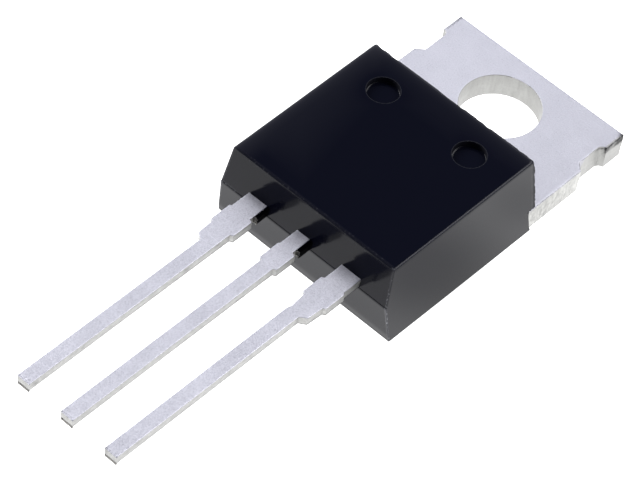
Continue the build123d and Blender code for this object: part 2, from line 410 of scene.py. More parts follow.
def copy_of(solid):
    mesh = bmesh.new()
    mesh.from_mesh(nodes[solid].data)
    bmesh.ops.remove_doubles(mesh, verts=mesh.verts, dist=weld)
    return mesh


def trios(loop):
    """Each point of a closed loop, with the points before and after it."""
    return zip(loop[-1:] + loop[:-1], loop, loop[1:] + loop[:1])


def area_of(loop):
    return sum(p.x * ahead.y - ahead.x * p.y for _, p, ahead in trios(loop)) / 2


def tidy_loop(loop):
    """Drop repeated points and points on straight runs, and go round anticlockwise."""
    kept = [p for back, p, _ in trios(loop) if (p - back).length > same_place]
    corners = [p for back, p, ahead in trios(kept)
               if abs((p - back).angle_signed(ahead - p, 0)) > straight_turn]
    if area_of(corners) < 0:
        corners.reverse()
    start = min(range(len(corners)), key=lambda i: (round(corners[i].y, 3), round(corners[i].x, 3)))
    return corners[start:] + corners[:start]

# %% Slice a solid at a height and walk round each loop
def slice_loops(solid, height):
    """Closed outlines, in millimetres and largest first, of a solid cut level at a height."""
    cut = copy_of(solid)
    everything = [*cut.verts, *cut.edges, *cut.faces]
    bmesh.ops.bisect_plane(cut, geom=everything, plane_co=(0, 0, height * MM), plane_no=(0, 0, 1),
                           clear_inner=True, clear_outer=True)
    cut.edges.index_update()
    unused = {edge.index: edge for edge in cut.edges}
    loops = []
    while unused:
        edge = unused.pop(min(unused))
        start, here = edge.verts
        loop = [start]
        while here != start:
            loop.append(here)
            edge = next(e for e in here.link_edges if e.index in unused)
            unused.pop(edge.index)
            here = edge.other_vert(here)
        loops.append(tidy_loop([vert.co.xy / MM for vert in loop]))
    cut.free()
    return sorted(loops, key=area_of, reverse=True)


lead_low, lead_high = (corner.z / MM for corner in map(Vector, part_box("adjust_lead")))
lead_middle = (lead_low + lead_high) / 2
adjust_outline = slice_loops("adjust_lead", lead_middle)[0]
print("the adjust lead's outline has", len(adjust_outline), "corners")

# %% [markdown]
# ## Walls from stacked rings
# Punched metal and moulded resin have walls that change from top to bottom: a rolled edge, a
# smooth band, a torn band. Bevels on the solid can't give that, so each wall is a stack of rings.
# A ring is the outline moved into the material by a small amount at one height. Points beside an
# outward corner are drawn into it, or the mesh would fold over there.

# %% Divide a loop and find the way into its material
def divide(loop, step):
    """Points about one step apart round a loop, with its corners kept."""
    points = []
    for _, here, ahead in trios(loop):
        count = max(1, round((ahead - here).length / step))
        points += [here.lerp(ahead, i / count) for i in range(count)]
    return points


def into_material(loop):
    """For each point of a loop, the way into the material on its left."""
    ways = []
    for back, p, ahead in trios(loop):
        before, after = (p - back).normalized(), (ahead - p).normalized()
        way = Vector((-(before.y + after.y), before.x + after.x))
        ways.append(way * (2 / max(way.length_squared, 1.0)))
    return ways

# %% Move a loop in and keep its corners clean
def bends_out(back, p, ahead):
    """True at a corner that points away from the material."""
    before, after = p - back, ahead - p
    return before.x * after.y - before.y * after.x > 0


def nearest_corners(loop, ways, reach=0.4, sharp=1.05):
    """For each point, the distance and index of the nearest outward corner within reach."""
    corners = [i for i, trio in enumerate(trios(loop)) if ways[i].length > sharp and bends_out(*trio)]
    nearest = []
    for p in loop:
        close = [(round((p - loop[i]).length, 6), i) for i in corners if (p - loop[i]).length < reach]
        nearest.append(min(close) if close else None)
    return nearest


def moved_in(loop, ways, nearest, depths):
    """A loop moved into the material, with the points beside each outward corner drawn into it."""
    ring = []
    for p, way, near, depth in zip(loop, ways, nearest, depths):
        if near and near[0] < depths[near[1]]:
            p, way, depth = loop[near[1]], ways[near[1]], depths[near[1]]
        ring.append(p + way * depth)
    return ring


print("outward corners of the adjust lead:", sum(bends_out(*trio) for trio in trios(adjust_outline)))

# %% Helpers for distance, noise and soft steps
def distances(loop):
    """Distance from the first point to each point along a loop."""
    total, along = 0, []
    for _, here, ahead in trios(loop):
        along.append(total)
        total += (ahead - here).length
    return along


def grain(*place):
    """Noise that depends on the place alone, so each run gives the same wear."""
    return noise.noise(Vector((*place, 0.0, 0.0)[:3]))


def smooth(value, start, end):
    """A soft step from 0 at the start to 1 at the end."""
    share = min(max((value - start) / (end - start), 0), 1)
    return share * share * (3 - 2 * share)


def fades(value, start, end):
    """A soft step from 1 at the start to 0 at the end."""
    return 1 - smooth(value, start, end)


def gap_to(p, corner):
    """Distance from a point to a corner on the right, or to its mirror on the left."""
    return (Vector((abs(p.x), p.y)) - corner).length

# %% Put a mesh on an object of its own
crease = math.radians(38)   # edges that turn more stay sharp


def soften(mesh):
    """Smooth faces that all look outward, with the creases kept sharp."""
    bmesh.ops.recalc_face_normals(mesh, faces=mesh.faces)
    for face in mesh.faces:
        face.smooth = True
    for edge in mesh.edges:
        edge.smooth = edge.calc_face_angle(0) < crease


def piece_of(name, mesh, materials):
    """Make an object of a mesh, with its materials, that rides with the part."""
    data = bpy.data.meshes.new(name)
    mesh.to_mesh(data)
    mesh.free()
    for material in materials:
        data.materials.append(material)
    piece = placed(name, data)
    piece.modifiers.new("flat_faces", "WEIGHTED_NORMAL").keep_sharp = True
    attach(piece, "root")
    print(name, "has", len(data.polygons), "faces")
    return piece

# %% Join the rings into one closed mesh
def walls(mesh, rings, material_at=None):
    """Quads between the rings of a stack; material_at picks each one's material."""
    rows = [[mesh.verts.new(p * MM) for p in ring] for ring in rings]
    for level, (upper, lower) in enumerate(zip(rows, rows[1:])):
        for i, corner in enumerate(upper):
            j = (i + 1) % len(upper)
            wall = mesh.faces.new((corner, lower[i], lower[j], upper[j]))
            wall.material_index = material_at(level, corner.co / MM) if material_at else 0
    return rows


def ring_piece(name, stacks, materials, material_at=None):
    """A closed piece from stacks of rings; the open rims at each height are filled flat."""
    mesh = bmesh.new()
    for stack in stacks:
        walls(mesh, stack, material_at)
    bmesh.ops.remove_doubles(mesh, verts=mesh.verts, dist=weld)
    rims = {}
    for edge in mesh.edges:
        if edge.is_boundary:
            rims.setdefault(round(edge.verts[0].co.z / weld), []).append(edge)
    for rim in rims.values():
        bmesh.ops.triangle_fill(mesh, use_beauty=True, use_dissolve=False, edges=rim)
    soften(mesh)
    return piece_of(name, mesh, materials)

# %% Loft a strip and store values on points
def loft_piece(name, sections, materials):
    """A closed piece from matching loops in a row, with both ends filled."""
    mesh = bmesh.new()
    rows = walls(mesh, sections)
    mesh.faces.new(rows[0])
    mesh.faces.new(rows[-1])
    bmesh.ops.recalc_face_normals(mesh, faces=mesh.faces)
    return piece_of(name, mesh, materials)


def mark_points(piece, name, value_at):
    """Store a value on each point of a piece, worked out from its place in millimetres."""
    values = piece.data.attributes.new(name, "FLOAT", "POINT")
    for vert, item in zip(piece.data.vertices, values.data):
        item.value = value_at(vert.co / MM)

# %% [markdown]
# ## Punched metal
# A punched strip has a rolled upper edge, then a smooth band, then a torn one that leans back
# into the metal. A plain bevel would do for the top, but the torn band and its uneven start are
# what make thick sheet look punched, so both are in the rings.

# %% Rings of a punched wall
roll_steps = 4
rim_lift = 0.002            # the lowest ring stays this far above the flat underside
tear_start, tear_wander, tear_fade = 0.55, 0.14, 0.18       # shares of the thickness


def punched_wall(loop, bottom, top, roll_at, margins, tear_at, step, rows, seed):
    """Rings from a rolled upper edge down to a torn lower edge.

    roll_at gives how far the roll reaches in and down at a point, and how straight it is: 0 for
    a quarter round, 1 for a flat chamfer. The margins are flat strips inside the roll that keep
    its shading off the top face. tear_at gives how deep the torn band is at a point.
    """
    points = divide(loop, step)
    ways = into_material(points)
    nearest = nearest_corners(points, ways)
    rolls = [roll_at(p) for p in points]
    tears = [tear_at(p) for p in points]
    thickness = top - bottom
    stack = []

    def add_ring(depths, heights):
        ring = moved_in(points, ways, nearest, depths)
        stack.append([Vector((*p, height)) for p, height in zip(ring, heights)])

    for margin in margins:
        add_ring([r + margin for r, _, _ in rolls], [top] * len(points))
    for k in range(roll_steps):
        flat = k / roll_steps
        turn = math.pi / 2 * flat
        ins = [r * (1 - math.sin(turn) * (1 - straight) - flat * straight) for r, _, straight in rolls]
        downs = [d * ((1 - math.cos(turn)) * (1 - straight) + flat * straight) for _, d, straight in rolls]
        add_ring(ins, [top - down for down in downs])
    for k in range(rows + 1):
        heights, depths = [], []
        for (_, drop, _), tear, s in zip(rolls, tears, distances(points)):
            height = top - drop - (thickness - drop - rim_lift) * k / rows
            start = bottom + thickness * (tear_start + tear_wander * grain(s * 1.3, seed))
            torn = fades(height, start - tear_fade * thickness, start)
            depth = tear * torn * (0.55 + 0.6 * abs(grain(s * 5, height * 1.1, seed)))
            depth += tear * 0.35 * torn * (0.5 + 0.5 * grain(s * 13, height * 7, seed))
            depth += tear * 0.12 * (0.5 + 0.5 * grain(s * 9, height * 0.8, seed))
            heights.append(height)
            depths.append(depth)
        add_ring(depths, heights)
    add_ring([depth + margins[-1] for depth in depths], [bottom] * len(points))
    return stack

# %% [markdown]
# ## The tab
# The tab is thick copper, punched in one stroke with its hole and notches. Its outline could be
# drawn by hand, but the slice has it already. Only two things change: each notch ends in a slope
# by the body, as a worn punch leaves it, and the hole becomes a true circle.

# %% Measure the tab
tab_low, tab_high = (Vector(corner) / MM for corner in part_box("heat_tab"))
body_low, body_high = (Vector(corner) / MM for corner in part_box("moulded_body"))
hole = next(m for m in frame["record"]["mounts"] if m["kind"] == "bore")
hole_radius = hole["dims"]["r_mm"]
tab_slice = 0.3             # height of the slices
plate_end = max(p.y for loop in slice_loops("moulded_body", tab_slice) for p in loop)
tab_outline = slice_loops("heat_tab", tab_slice)[0]
plate_outline = tidy_loop([Vector((p.x, max(p.y, plate_end))) for p in tab_outline])
ear_start = min(p.y for p in plate_outline if p.x > 4.85 and p.y > 0.5)
shoulder_y = max(p.y for p in plate_outline if p.x > 4.8 and p.y < 0.5)
tab_top = max(v.co.z for v in nodes["heat_tab"].data.vertices if v.co.y > 0) / MM
ear_side = max(p.x for p in plate_outline if p.y > ear_start + 0.1)
shoulder_side = max(p.x for p in plate_outline)
notch_floor = min(abs(p.x) for p in plate_outline if shoulder_y < p.y < ear_start)
shoulder_corner = Vector((shoulder_side, shoulder_y))
wall_side = 4.3             # anything further out belongs to the tab's side walls
notch_middle = ear_start - 0.9
print("ears start at y =", round(ear_start, 2), "and the shoulders end at y =", round(shoulder_y, 2))

# %% Outlines of the plate and of its hole
def with_slopes(loop):
    """Turn the round at the body's end of each notch into a slope, as a worn punch leaves it."""
    kept = []
    for p in loop:
        near_body = p.y < ear_start - 0.5
        if near_body and abs(abs(p.x) - notch_floor) < 0.01:
            kept.append(Vector((p.x, p.y + 0.1)))
        elif not (near_body and notch_floor < abs(p.x) < shoulder_side - 0.01):
            kept.append(p)
    return kept


plate_outline = with_slopes(plate_outline)
hole_points = 160
hole_turns = [-2 * math.pi * i / hole_points for i in range(hole_points)]
hole_outline = [Vector((math.cos(a), math.sin(a))) * hole_radius for a in hole_turns]
print("the plate has", len(plate_outline), "corners and a hole of", 2 * hole_radius, "mm")

# %% [markdown]
# ## Rolled and torn edges of the tab
# The punch drags the upper edge down before it cuts through: most at the right ear and beside
# the body, hardly at all under the resin. One bevel all round would look machined, so roll and
# torn band are worked out from the place.

# %% Rolls and tears along the tab
def at_ear_side(p):
    return smooth(p.y, ear_start - 0.03, ear_start + 0.03) * smooth(abs(p.x), 4.55, 4.80)


def tab_roll(p):
    """How far the upper edge is rolled in and down: most at the side of the right ear."""
    kept_flat = smooth(p.y, plate_end, plate_end + 0.2)
    ear = at_ear_side(p) * fades(p.y, tab_high.y - 0.35, tab_high.y) * (p.x > 0)
    beside_body = fades(p.y, shoulder_y, shoulder_y + 1.0)
    reach = 0.004 + (0.02 + 0.08 * ear + 0.04 * beside_body * (abs(p.x) > wall_side)) * kept_flat
    drop = 0.004 + (0.02 + 0.05 * ear + 0.02 * beside_body) * kept_flat
    return reach, drop, 0.0


def tab_tear(p):
    """The notches and the ears are punched cleanly; the rest of the edge is torn deeper."""
    return 0.02 if p.y > shoulder_y and abs(p.x) > wall_side else 0.03


right_ear = Vector((ear_side, ear_start + 0.3))
print("the right ear's edge is rolled", round(tab_roll(right_ear)[0], 3), "mm in")

# %% [markdown]
# ## Painted shade, painted light and smears on the tab
# Painted shade stands for the dark reflection in a band under the ears' upper edges, and darkens
# the ears' rolled corners, the hollows at the ends of the notches and the highlight of the rolled
# edge beside the body; painted light brightens the walls by the shoulders. The punch also smears
# plating into the notches. Noise alone would put such marks anywhere, so one function says for
# each place how dark it is.

# %% Shade along the tab
def tab_shade(p):
    """How far painted shade darkens a point of the tab; below 0 painted light makes it brighter."""
    on_wall = abs(p.x) > wall_side
    # painted shade: a dark reflection in a band under the ears' upper edges, with a ragged lower edge
    ragged = 0.06 * grain(p.y * 6, p.x * 6, 2.5) + 0.03 * grain(p.y * 17, p.z * 9, 6.5)
    band = smooth(p.z, tab_top - 0.44 + ragged, tab_top - 0.34 + ragged)
    band *= fades(p.z, tab_top - 0.015, tab_top)
    uneven = 0.85 + 0.35 * grain(p.y * 3, p.z * 5, 9.5)
    ear = at_ear_side(p) * band * min(uneven, 1) * (1 if p.x > 0 else 0.35)
    # painted shade on the far edge next to the ears' corners
    back = smooth(abs(p.x), 4.3, 4.8) * smooth(p.y, tab_high.y - 0.06, tab_high.y - 0.02)
    # painted shade in the hollow at the ear's end of each notch
    in_notch = smooth(p.y, ear_start - 0.7, ear_start - 0.1) * fades(p.y, ear_start, ear_start + 0.03)
    dim = in_notch * (0.25 + 0.5 * smooth(p.z, tab_top - 0.25, tab_top - 0.08)) * (p.z < tab_top - 0.02)
    # painted light on the wall by the shoulder, as a value below 0
    light = -0.3 * smooth(p.y, shoulder_y - 0.1, shoulder_y + 0.1) * fades(p.y, 0.3, 1.1)
    # painted shade on the rolled edges of the ears and on the right ear's far corner
    on_ear = smooth(p.y, ear_start, ear_start + 0.2)
    painted_edge_shade = (0.5 if p.x < 0 else 0.2) * fades(ear_side - abs(p.x), 0.08, 0.2) * on_ear
    painted_edge_shade += (0.05 if p.x < 0 else 0.8) * fades(gap_to(p, Vector((ear_side, tab_high.y))), 0.05, 0.4)
    sunk = tab_top - p.z
    # painted shade that dims the highlight of the rolled edge on the side walls
    highlight_shade = (0.5 if p.y < notch_middle else 0.08) * smooth(sunk, 0.0003, 0.003)
    highlight_shade *= fades(sunk, 0.06, 0.15) * on_wall
    # darker along the plate's edge next to the body
    darker_by_body = 0.3 * fades(p.y, plate_end, plate_end + 0.4) * smooth(p.x, 4.2, 4.8)
    if sunk < 0.03:
        return max(painted_edge_shade, highlight_shade, darker_by_body, ear * (p.x > 0))
    # painted light, as a value below 0, on the wall near the shoulder's corner
    near_corner = gap_to(p, shoulder_corner) < 0.3
    wall = dim if p.y > ear_start - 0.7 else light * (p.z < tab_top - 0.02) - 0.15 * near_corner
    return max(ear, 0.7 * back * band) + (wall if p.x > 4.2 else 0)


print("shade on the right ear's edge:", round(tab_shade(Vector((*right_ear, tab_top))), 2))

# %% Walls of the plate and of its hole
plate_rows, hole_rows = 24, 22
plate_wall = punched_wall(plate_outline, 0, tab_top, tab_roll, (0.16, 0.07), tab_tear, 0.07,
                          plate_rows, 3.1)
hole_wall = punched_wall(hole_outline, 0, tab_top, lambda p: (0.02, 0.03, 0.0), (0.16, 0.05),
                         lambda p: 0.02, 0.08, hole_rows, 7.7)
plate_finishes = [tab_plating, sheared_metal, torn_metal, smeared_metal]


def plate_material(level, p):
    """Plating on top, torn beside the body, smeared down the notches, sheared elsewhere."""
    beside_body = abs(p.x) > wall_side and p.y < notch_middle
    left_ear = p.x < 0 and p.y > ear_start + 0.08
    if level < 2 or ((beside_body or left_ear) and level < 2 + roll_steps):
        return 0
    if abs(p.x) > 4.8 and p.y < shoulder_y - 0.02:
        return 2
    row = (level - 2 - roll_steps) / plate_rows
    return 3 if beside_body and row < 0.9 - 1.3 * (p.y - shoulder_y) else 1


tab_plate = ring_piece("tab_plate", [plate_wall, hole_wall], plate_finishes, plate_material)
mark_points(tab_plate, "shade", tab_shade)
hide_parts("heat_tab")

# %% [markdown]
# ## The leads
# The leads are the thin half of the same strip. The punch rolled their right edges, coating has
# built up on their left sides, and the cut at the end nips each tip. A bevelled box would miss
# all this, so each blade takes its outline from a slice, with roots, stubs and shoulders.

# %% Outline and roll of a lead
lead_pitch = 2.54
build_up = 0.03             # how far the coating stands out on the left of a lead
tip_setback = 0.012
tip_y = tab_low.y
tip_chamfer = (0.10, 0.04, 1.0)


def blade_outline(outline):
    """A lead's outline with its build-up on the left and its tip set back a hair."""
    middle = lead_pitch * round(sum(p.x for p in outline) / len(outline) / lead_pitch)
    return [
        Vector((p.x - (build_up if p.x < middle - 0.2 else 0), max(p.y, tip_y + tip_setback)))
        for p in outline
    ]


def blade_roll(p):
    """A wide roll on the right, hardly any on the left, and a nipped edge at the tip."""
    on_right = p.x > lead_pitch * round(p.x / lead_pitch)
    side = (0.035, 0.02, 0.0) if on_right else (0.006, 0.006, 0.0)
    at_tip = fades(p.y, tip_y + tip_setback, tip_y + tip_setback + 0.03)
    return tuple(s + (t - s) * at_tip for s, t in zip(side, tip_chamfer))


print("the leads end at y =", round(tip_y + tip_setback, 2))

# %% Shade along a lead
def blade_shade(p):
    """A dark torn line low on the sides, blotches near the body, smudges, and at the tip painted shade on
    the nipped edge and painted light on the cut face.
    """
    near_body = smooth(p.y, tip_y + 5, tip_y + 10)
    line = fades(p.z, lead_low + 0.02, lead_low + 0.07) * (p.z > lead_low + 0.5 * rim_lift)
    blotch = smooth(grain(p.y * 2.1, p.z * 3, p.x), 0.1, 0.5) * fades(p.z, lead_high - 0.06, lead_high)
    smudge = fades(p.y, tip_y + 0.3, tip_y + 1.2) * smooth(grain(p.x * 5, p.y * 2.5, p.z), 0.0, 0.5)
    # painted light on the tip's cut face, and painted shade that dims the highlight on the nipped edge
    cut_face_light = 0.1 * (p.y < tip_y + 0.02) * (p.z > lead_low + 0.03)
    tip_chamfer_shade = 0.25 * (p.y < tip_y + 0.12) * (p.z > lead_high - 0.045)
    marks = (line * (0.30 + 0.55 * near_body), 0.30 * blotch * near_body,
             0.35 * smudge * (p.z > lead_low + 0.1), tip_chamfer_shade)
    return max(marks) - cut_face_light


print("shade low beside a root:", round(blade_shade(Vector((0.3, tip_y + 12, lead_low + 0.01))), 2))

# %% Three lead blades
blade_rows = 9
blade_tear = 0.004


def lead_blade(name, solid, outline, seed):
    wall = punched_wall(blade_outline(outline), lead_low, lead_high, blade_roll, (0.05,),
                        lambda p: blade_tear, 0.06, blade_rows, seed)
    blade = ring_piece(name, [wall], [lead_plating, lead_side],
                       lambda level, p: int(level > roll_steps))
    mark_points(blade, "shade", blade_shade)
    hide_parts(solid)


centre_slice = slice_loops("heat_tab", lead_middle)[0]
input_outline = slice_loops("input_lead", lead_middle)[0]
lead_blade("adjust_blade", "adjust_lead", adjust_outline, 11.3)
lead_blade("output_blade", "heat_tab", centre_slice, 23.9)
lead_blade("input_blade", "input_lead", input_outline, 37.1)

# %% [markdown]
# ## Burrs at the cuts
# The blade that cuts the leads to length drags a thin dark lip of metal under each tip. A darker
# line in the finish would look painted on from below, so each lip is a real crinkled ribbon,
# set level with the tip so that the leads keep their length.

# %% A crinkled ribbon under each tip
ribbon_rows, ribbon_columns = 14, 4


def ribbon(name, start, along, across, thick, crinkle, seed, ragged=0.35):
    """A thin torn strip: rows go along it, columns across it, and it keeps one side flat."""
    sections = []
    for i in range(ribbon_rows + 1):
        u = i / ribbon_rows
        width = 1 - ragged * (0.5 + 0.5 * grain(u * 6, seed, 1.5))
        front, back = [], []
        for j in range(ribbon_columns + 1):
            v = j / ribbon_columns
            fold = crinkle * (0.5 + 0.5 * grain(u * 5, v * 3, seed))
            place = start + along * u + across * v * width + thick.normalized() * fold
            front.append(place)
            back.append(place + thick)
        sections.append(front + back[::-1])
    return loft_piece(name, sections, [burr_metal])


tip_hang = Vector((0, 0, -0.15))
tip_outlines = (("adjust_lead", adjust_outline), ("heat_tab", centre_slice), ("input_lead", input_outline))
for index, (solid, outline) in enumerate(tip_outlines):
    xs = [p.x for p in outline if p.y < tip_y + 0.01]
    start = Vector((min(xs), tip_y, lead_low + 0.05))
    along = Vector((max(xs) - min(xs), 0, 0))
    burr = ribbon("tip_burr_%d" % index, start, along, tip_hang, Vector((0, 0.05, 0)), 0.008,
                  3.3 + index)
    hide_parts(solid)

# %% [markdown]
# ## The hidden inner end of the tab
# Under the resin the tab goes on as a header for the die and a neck up to the centre lead. Only
# the back of the header shows. It could be drawn again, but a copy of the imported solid, cut at
# the edge of the resin, keeps the solid's form and meets the exposed plate.

# %% Header and neck from a copy of the solid
def keep_between(solid, y_low, y_high):
    """The stretch of a solid between two places along Y, closed at both cuts."""
    mesh = copy_of(solid)
    for place, way in ((y_low, -1), (y_high, 1)):
        everything = [*mesh.verts, *mesh.edges, *mesh.faces]
        cut = bmesh.ops.bisect_plane(mesh, geom=everything, dist=weld, plane_co=(0, place * MM, 0),
                                     plane_no=(0, way, 0), clear_outer=True)
        rim = [item for item in cut["geom_cut"] if isinstance(item, bmesh.types.BMEdge)]
        bmesh.ops.triangle_fill(mesh, use_beauty=True, edges=rim)
    bmesh.ops.recalc_face_normals(mesh, faces=mesh.faces)
    bmesh.ops.dissolve_limit(mesh, angle_limit=math.radians(1), verts=mesh.verts, edges=mesh.edges)
    soften(mesh)
    return mesh


neck_overlap = 0.05         # how far the neck reaches into the centre blade
neck_end = max(p.y for p in centre_slice) - neck_overlap
header = piece_of("header_and_neck", keep_between("heat_tab", neck_end, plate_end), [tab_plating])
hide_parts("heat_tab")

# %% [markdown]
# ## The moulded body
# The body leaves the mould with drafted sides, a parting line across the lead end and two round
# marks from the ejector pins. It is built as rings too, so that its faces stay flat while its
# edges can be worn. The back stands a hair above the bare header, so the metal is what touches
# a heat sink.

# %% Measure the body at a few heights
def slice_box(height):
    """Half-width, front and back of the body at a height."""
    points = [p for loop in slice_loops("moulded_body", height) for p in loop]
    return max(p.x for p in points), min(p.y for p in points), max(p.y for p in points)


def wall_line(first, second, side):
    """One side of the body's box, as a straight line through its slices at two heights."""
    start, end = slice_box(first)[side], slice_box(second)[side]
    return lambda height: start + (end - start) / (second - first) * (height - first)


body_top = body_high.z
near_back, under, over, near_top = 0.1, lead_low - 0.05, lead_high + 0.05, body_top - 0.4
half_width_at = wall_line(near_back, near_top, 0)
lower_front_at = wall_line(near_back, under, 1)
upper_front_at = wall_line(over, near_top, 1)
back_wall_at = wall_line(over, near_top, 2)
print("body half-width at the back of the part:", round(half_width_at(0), 3), "mm")

# %% A rectangle with rounded corners
corner_round = 0.04
corner_steps = 6
body_step = 0.09
columns = (round(2 * half_width_at(body_top) / body_step), round((plate_end - body_low.y) / body_step))


def rounded_ring(half_width, front, back, rounds):
    """A rectangle with rounded corners, anticlockwise from its front left corner."""
    arcs = []
    for side, end, start in ((-1, front, 180), (1, front, 270), (1, back, 0), (-1, back, 90)):
        radius = rounds[0] if end == front else rounds[1]
        inner = Vector((side * (half_width - radius), end + radius * (1 if end == front else -1)))
        turns = [math.radians(start + 90 * k / corner_steps) for k in range(corner_steps + 1)]
        arcs.append([inner + Vector((math.cos(turn), math.sin(turn))) * radius for turn in turns])
    ring = []
    for index, arc in enumerate(arcs):
        ahead, count = arcs[(index + 1) % 4][0], columns[index % 2]
        shares = [0.3 / count] + [i / count for i in range(1, count)] + [1 - 0.3 / count]
        ring += arc + [arc[-1].lerp(ahead, share) for share in shares]
    return ring


print("steps across and along the body:", columns)

# %% [markdown]
# ## A mould that has worn
# A used mould gives a body that isn't quite its drawn size: it swells a little upward, its upper
# half sits a hair to one side, its halves leave a small step, and resin runs thin into the far
# upright edges and breaks off ragged. All this is wear, so it is added to the rings.

# %% Rings of the moulded body
far_round = 0.08            # extra rounding where the far upper corners are rubbed
back_share = 0.27           # the far upper edge is rounded less than the others
swell = 0.055               # how far the resin stands proud of the drawn size at the top
off_centre = 0.015          # the upper half of the mould sits a hair to one side
fin = 0.06                  # how far the torn fin stands past the body's far face
parting_step, parting_round = 0.03, 0.015
resin_creep = 0.2           # how far the resin has crept along the tab's sides at the back


def body_front_at(height):
    if height > lead_low:
        return upper_front_at(height)
    rounding = parting_round * smooth(height, lead_low - 0.03, lead_low)
    return lower_front_at(height) - parting_step * smooth(height, 0, 0.5) + rounding


def body_back_at(height):
    if height > tab_top:
        return back_wall_at(height)
    return plate_end + resin_creep * (1 - height / tab_top) * (1 + 0.3 * grain(height * 3, 1.7))


def body_ring(height, rolled=0.0, strip=0.0):
    """The body's outline at a height, drawn in by the edge's roll and by a strip of flat top."""
    inset = rolled + strip
    far = corner_round + far_round * smooth(height, body_top - 0.6, body_top)
    rounds = [max(radius - inset, 0.01) for radius in (corner_round, far)]
    front, back = body_front_at(height) + inset, body_back_at(height) - back_share * rolled - strip
    side = half_width_at(height) + swell * height / body_top - inset
    aside = Vector((off_centre * height / body_top, 0))
    return [torn_back(p, height) + aside for p in rounded_ring(side, front, back, rounds)]


def back_edge(p, height):
    """How near a point is to one of the two upright edges at the far end: 1 at the edge."""
    if height < tab_top:
        return 0
    return fades(gap_to(p, Vector((half_width_at(height), body_back_at(height)))), 0.09, 0.22)


def torn_back(p, height):
    """A broken fin on the upright edges at the far end, where the resin ran thin in the mould."""
    near = back_edge(p, height)
    tear = 0.10 * abs(grain(height * 4.5, p.x, 3.9))
    return Vector((p.x - math.copysign(0.4 * tear * near, p.x), p.y + (fin - tear) * near))


print("a ring has", len(body_ring(1.0)), "points")

# %% [markdown]
# ## Chipped upper edges
# Filled resin chips where a sharp edge gets knocked. A round bevel alone looks soft, like soap,
# so the edge is a slope between two small rounds, and noise bites pieces out of it.

# %% Chips along the upper edge
chip_front, chip_back = 0.022, 0.05
near_corner = Vector((half_width_at(body_top), upper_front_at(body_top)))


def chip_at(p):
    """How much of the upper edge is missing at a point."""
    front = fades(p.y, body_low.y + 0.8, body_low.y + 1.2)
    back = smooth(p.y, plate_end - 0.1, plate_end)
    depth = chip_back * back + chip_front * front + 0.008
    depth *= smooth(gap_to(p, near_corner), 0.05, 0.3)
    chips = smooth(grain(p.x * 2.6, p.y * 2.6, 4.2), 0.05, 0.5) + 0.25 * abs(grain(p.x * 9, p.y * 9, 8.1))
    return depth * chips


print("chip at the middle of the far edge:", round(chip_at(Vector((0, plate_end))), 3), "mm")

# %% Stack the body's rings from the back to the top
back_gap = 0.01
level_step = 0.12
top_round = 0.09
edge_profile = ((0, 1), (0.10, 0.62), (0.20, 0.50), (0.70, 0.10), (0.82, 0.04), (1, 0))
rim_strips = (0.04, 0.09, 0.15, 0.22, 0.32, 0.55)   # flat strips of the top along its edge


def heights_between(start, end):
    count = max(1, round((end - start) / level_step))
    return [start + (end - start) * i / count for i in range(count)]


body_heights = heights_between(back_gap, tab_top) + [tab_top - 0.001, tab_top + 0.001]
body_heights += heights_between(tab_top + 0.1, lead_low - 0.03)
body_heights += [lead_low - drop for drop in (0.03, 0.02, 0.01, 0, -0.001)]
body_heights += heights_between(lead_low + 0.1, body_top - top_round) + [body_top - top_round]
body_stack = []
for height in body_heights:
    body_stack.append([Vector((*p, height)) for p in body_ring(height)])
edge_height = body_top - top_round
edge_ways = into_material(body_ring(edge_height))
for share, down in edge_profile[1:]:
    height = body_top - top_round * down
    ring = []
    for p, way in zip(body_ring(edge_height, top_round * share), edge_ways):
        chip = chip_at(p)
        ring.append(Vector((*(p + way * chip * share), height - 0.3 * chip * (1 - share))))
    body_stack.append(ring)
for strip in rim_strips:
    flat_ring = body_ring(edge_height, top_round, strip)
    body_stack.append([Vector((*p, body_top)) for p in flat_ring])
body_stack.reverse()
print("the body has", len(body_stack), "rings")

# %% [markdown]
# ## Ejector marks
# Two pins push the part out of the mould and leave round pits in its top. A boolean would leave
# long thin faces that shade badly, so each pit is a stack of rings, and the top is filled
# between the outer rings.

# %% Rings of the two ejector marks
around_mark = 72
# each ring: how much wider than the mark, and how deep, in mm
mark_profile = ((0.2, 0.0), (0.05, 0.0), (0.02, 0.0), (0.006, 0.004), (0.0, 0.018), (0.0, 0.262),
                (-0.005, 0.274), (-0.015, 0.28), (-0.12, 0.28))
mark_stacks, round_marks = [], []
for loop in [loop for loop in slice_loops("moulded_body", body_top - 0.1) if area_of(loop) < 4]:
    middle = sum(loop, Vector((0, 0))) / len(loop)
    radius = max((p - middle).length for p in loop)
    stack = []
    for grow, depth in mark_profile:
        wide = radius + grow
        turns = [2 * math.pi * i / around_mark for i in range(around_mark)]
        stack.append([
            Vector((middle.x + wide * math.cos(a), middle.y + wide * math.sin(a), body_top - depth))
            for a in turns
        ])
    mark_stacks.append(stack)
    round_marks.append((middle, radius))
    print("ejector mark at", [round(c, 2) for c in middle], "radius", round(radius, 2), "mm")

# %% Body piece
body = ring_piece("body_shell", [body_stack, *mark_stacks], [moulded_resin])
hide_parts("moulded_body")

# %% [markdown]
# ## Wear, painted light and broken resin
# Black resin shows every knock as a pale line, painted light makes the top paler near its left and
# far edges with a painted highlight along its right edge, and torn resin is dull. A paler edge all
# round would look drawn on, so each mark gets a function that says where it is and how strong.

# %% Where the body is worn, lit by painted light and broken
top_half_width = half_width_at(body_top)
full_painted_light = 6.0
edge_highlight = 8.0            # painted highlight on the rounded edge at the right


def at_mark_rim(p):
    """1 on the rims of the two ejector marks, 0 a little way from them."""
    away = [abs((p.xy - middle).length - radius) + abs(body_top - p.z) for middle, radius in round_marks]
    return fades(min(away), 0.02, 0.05)


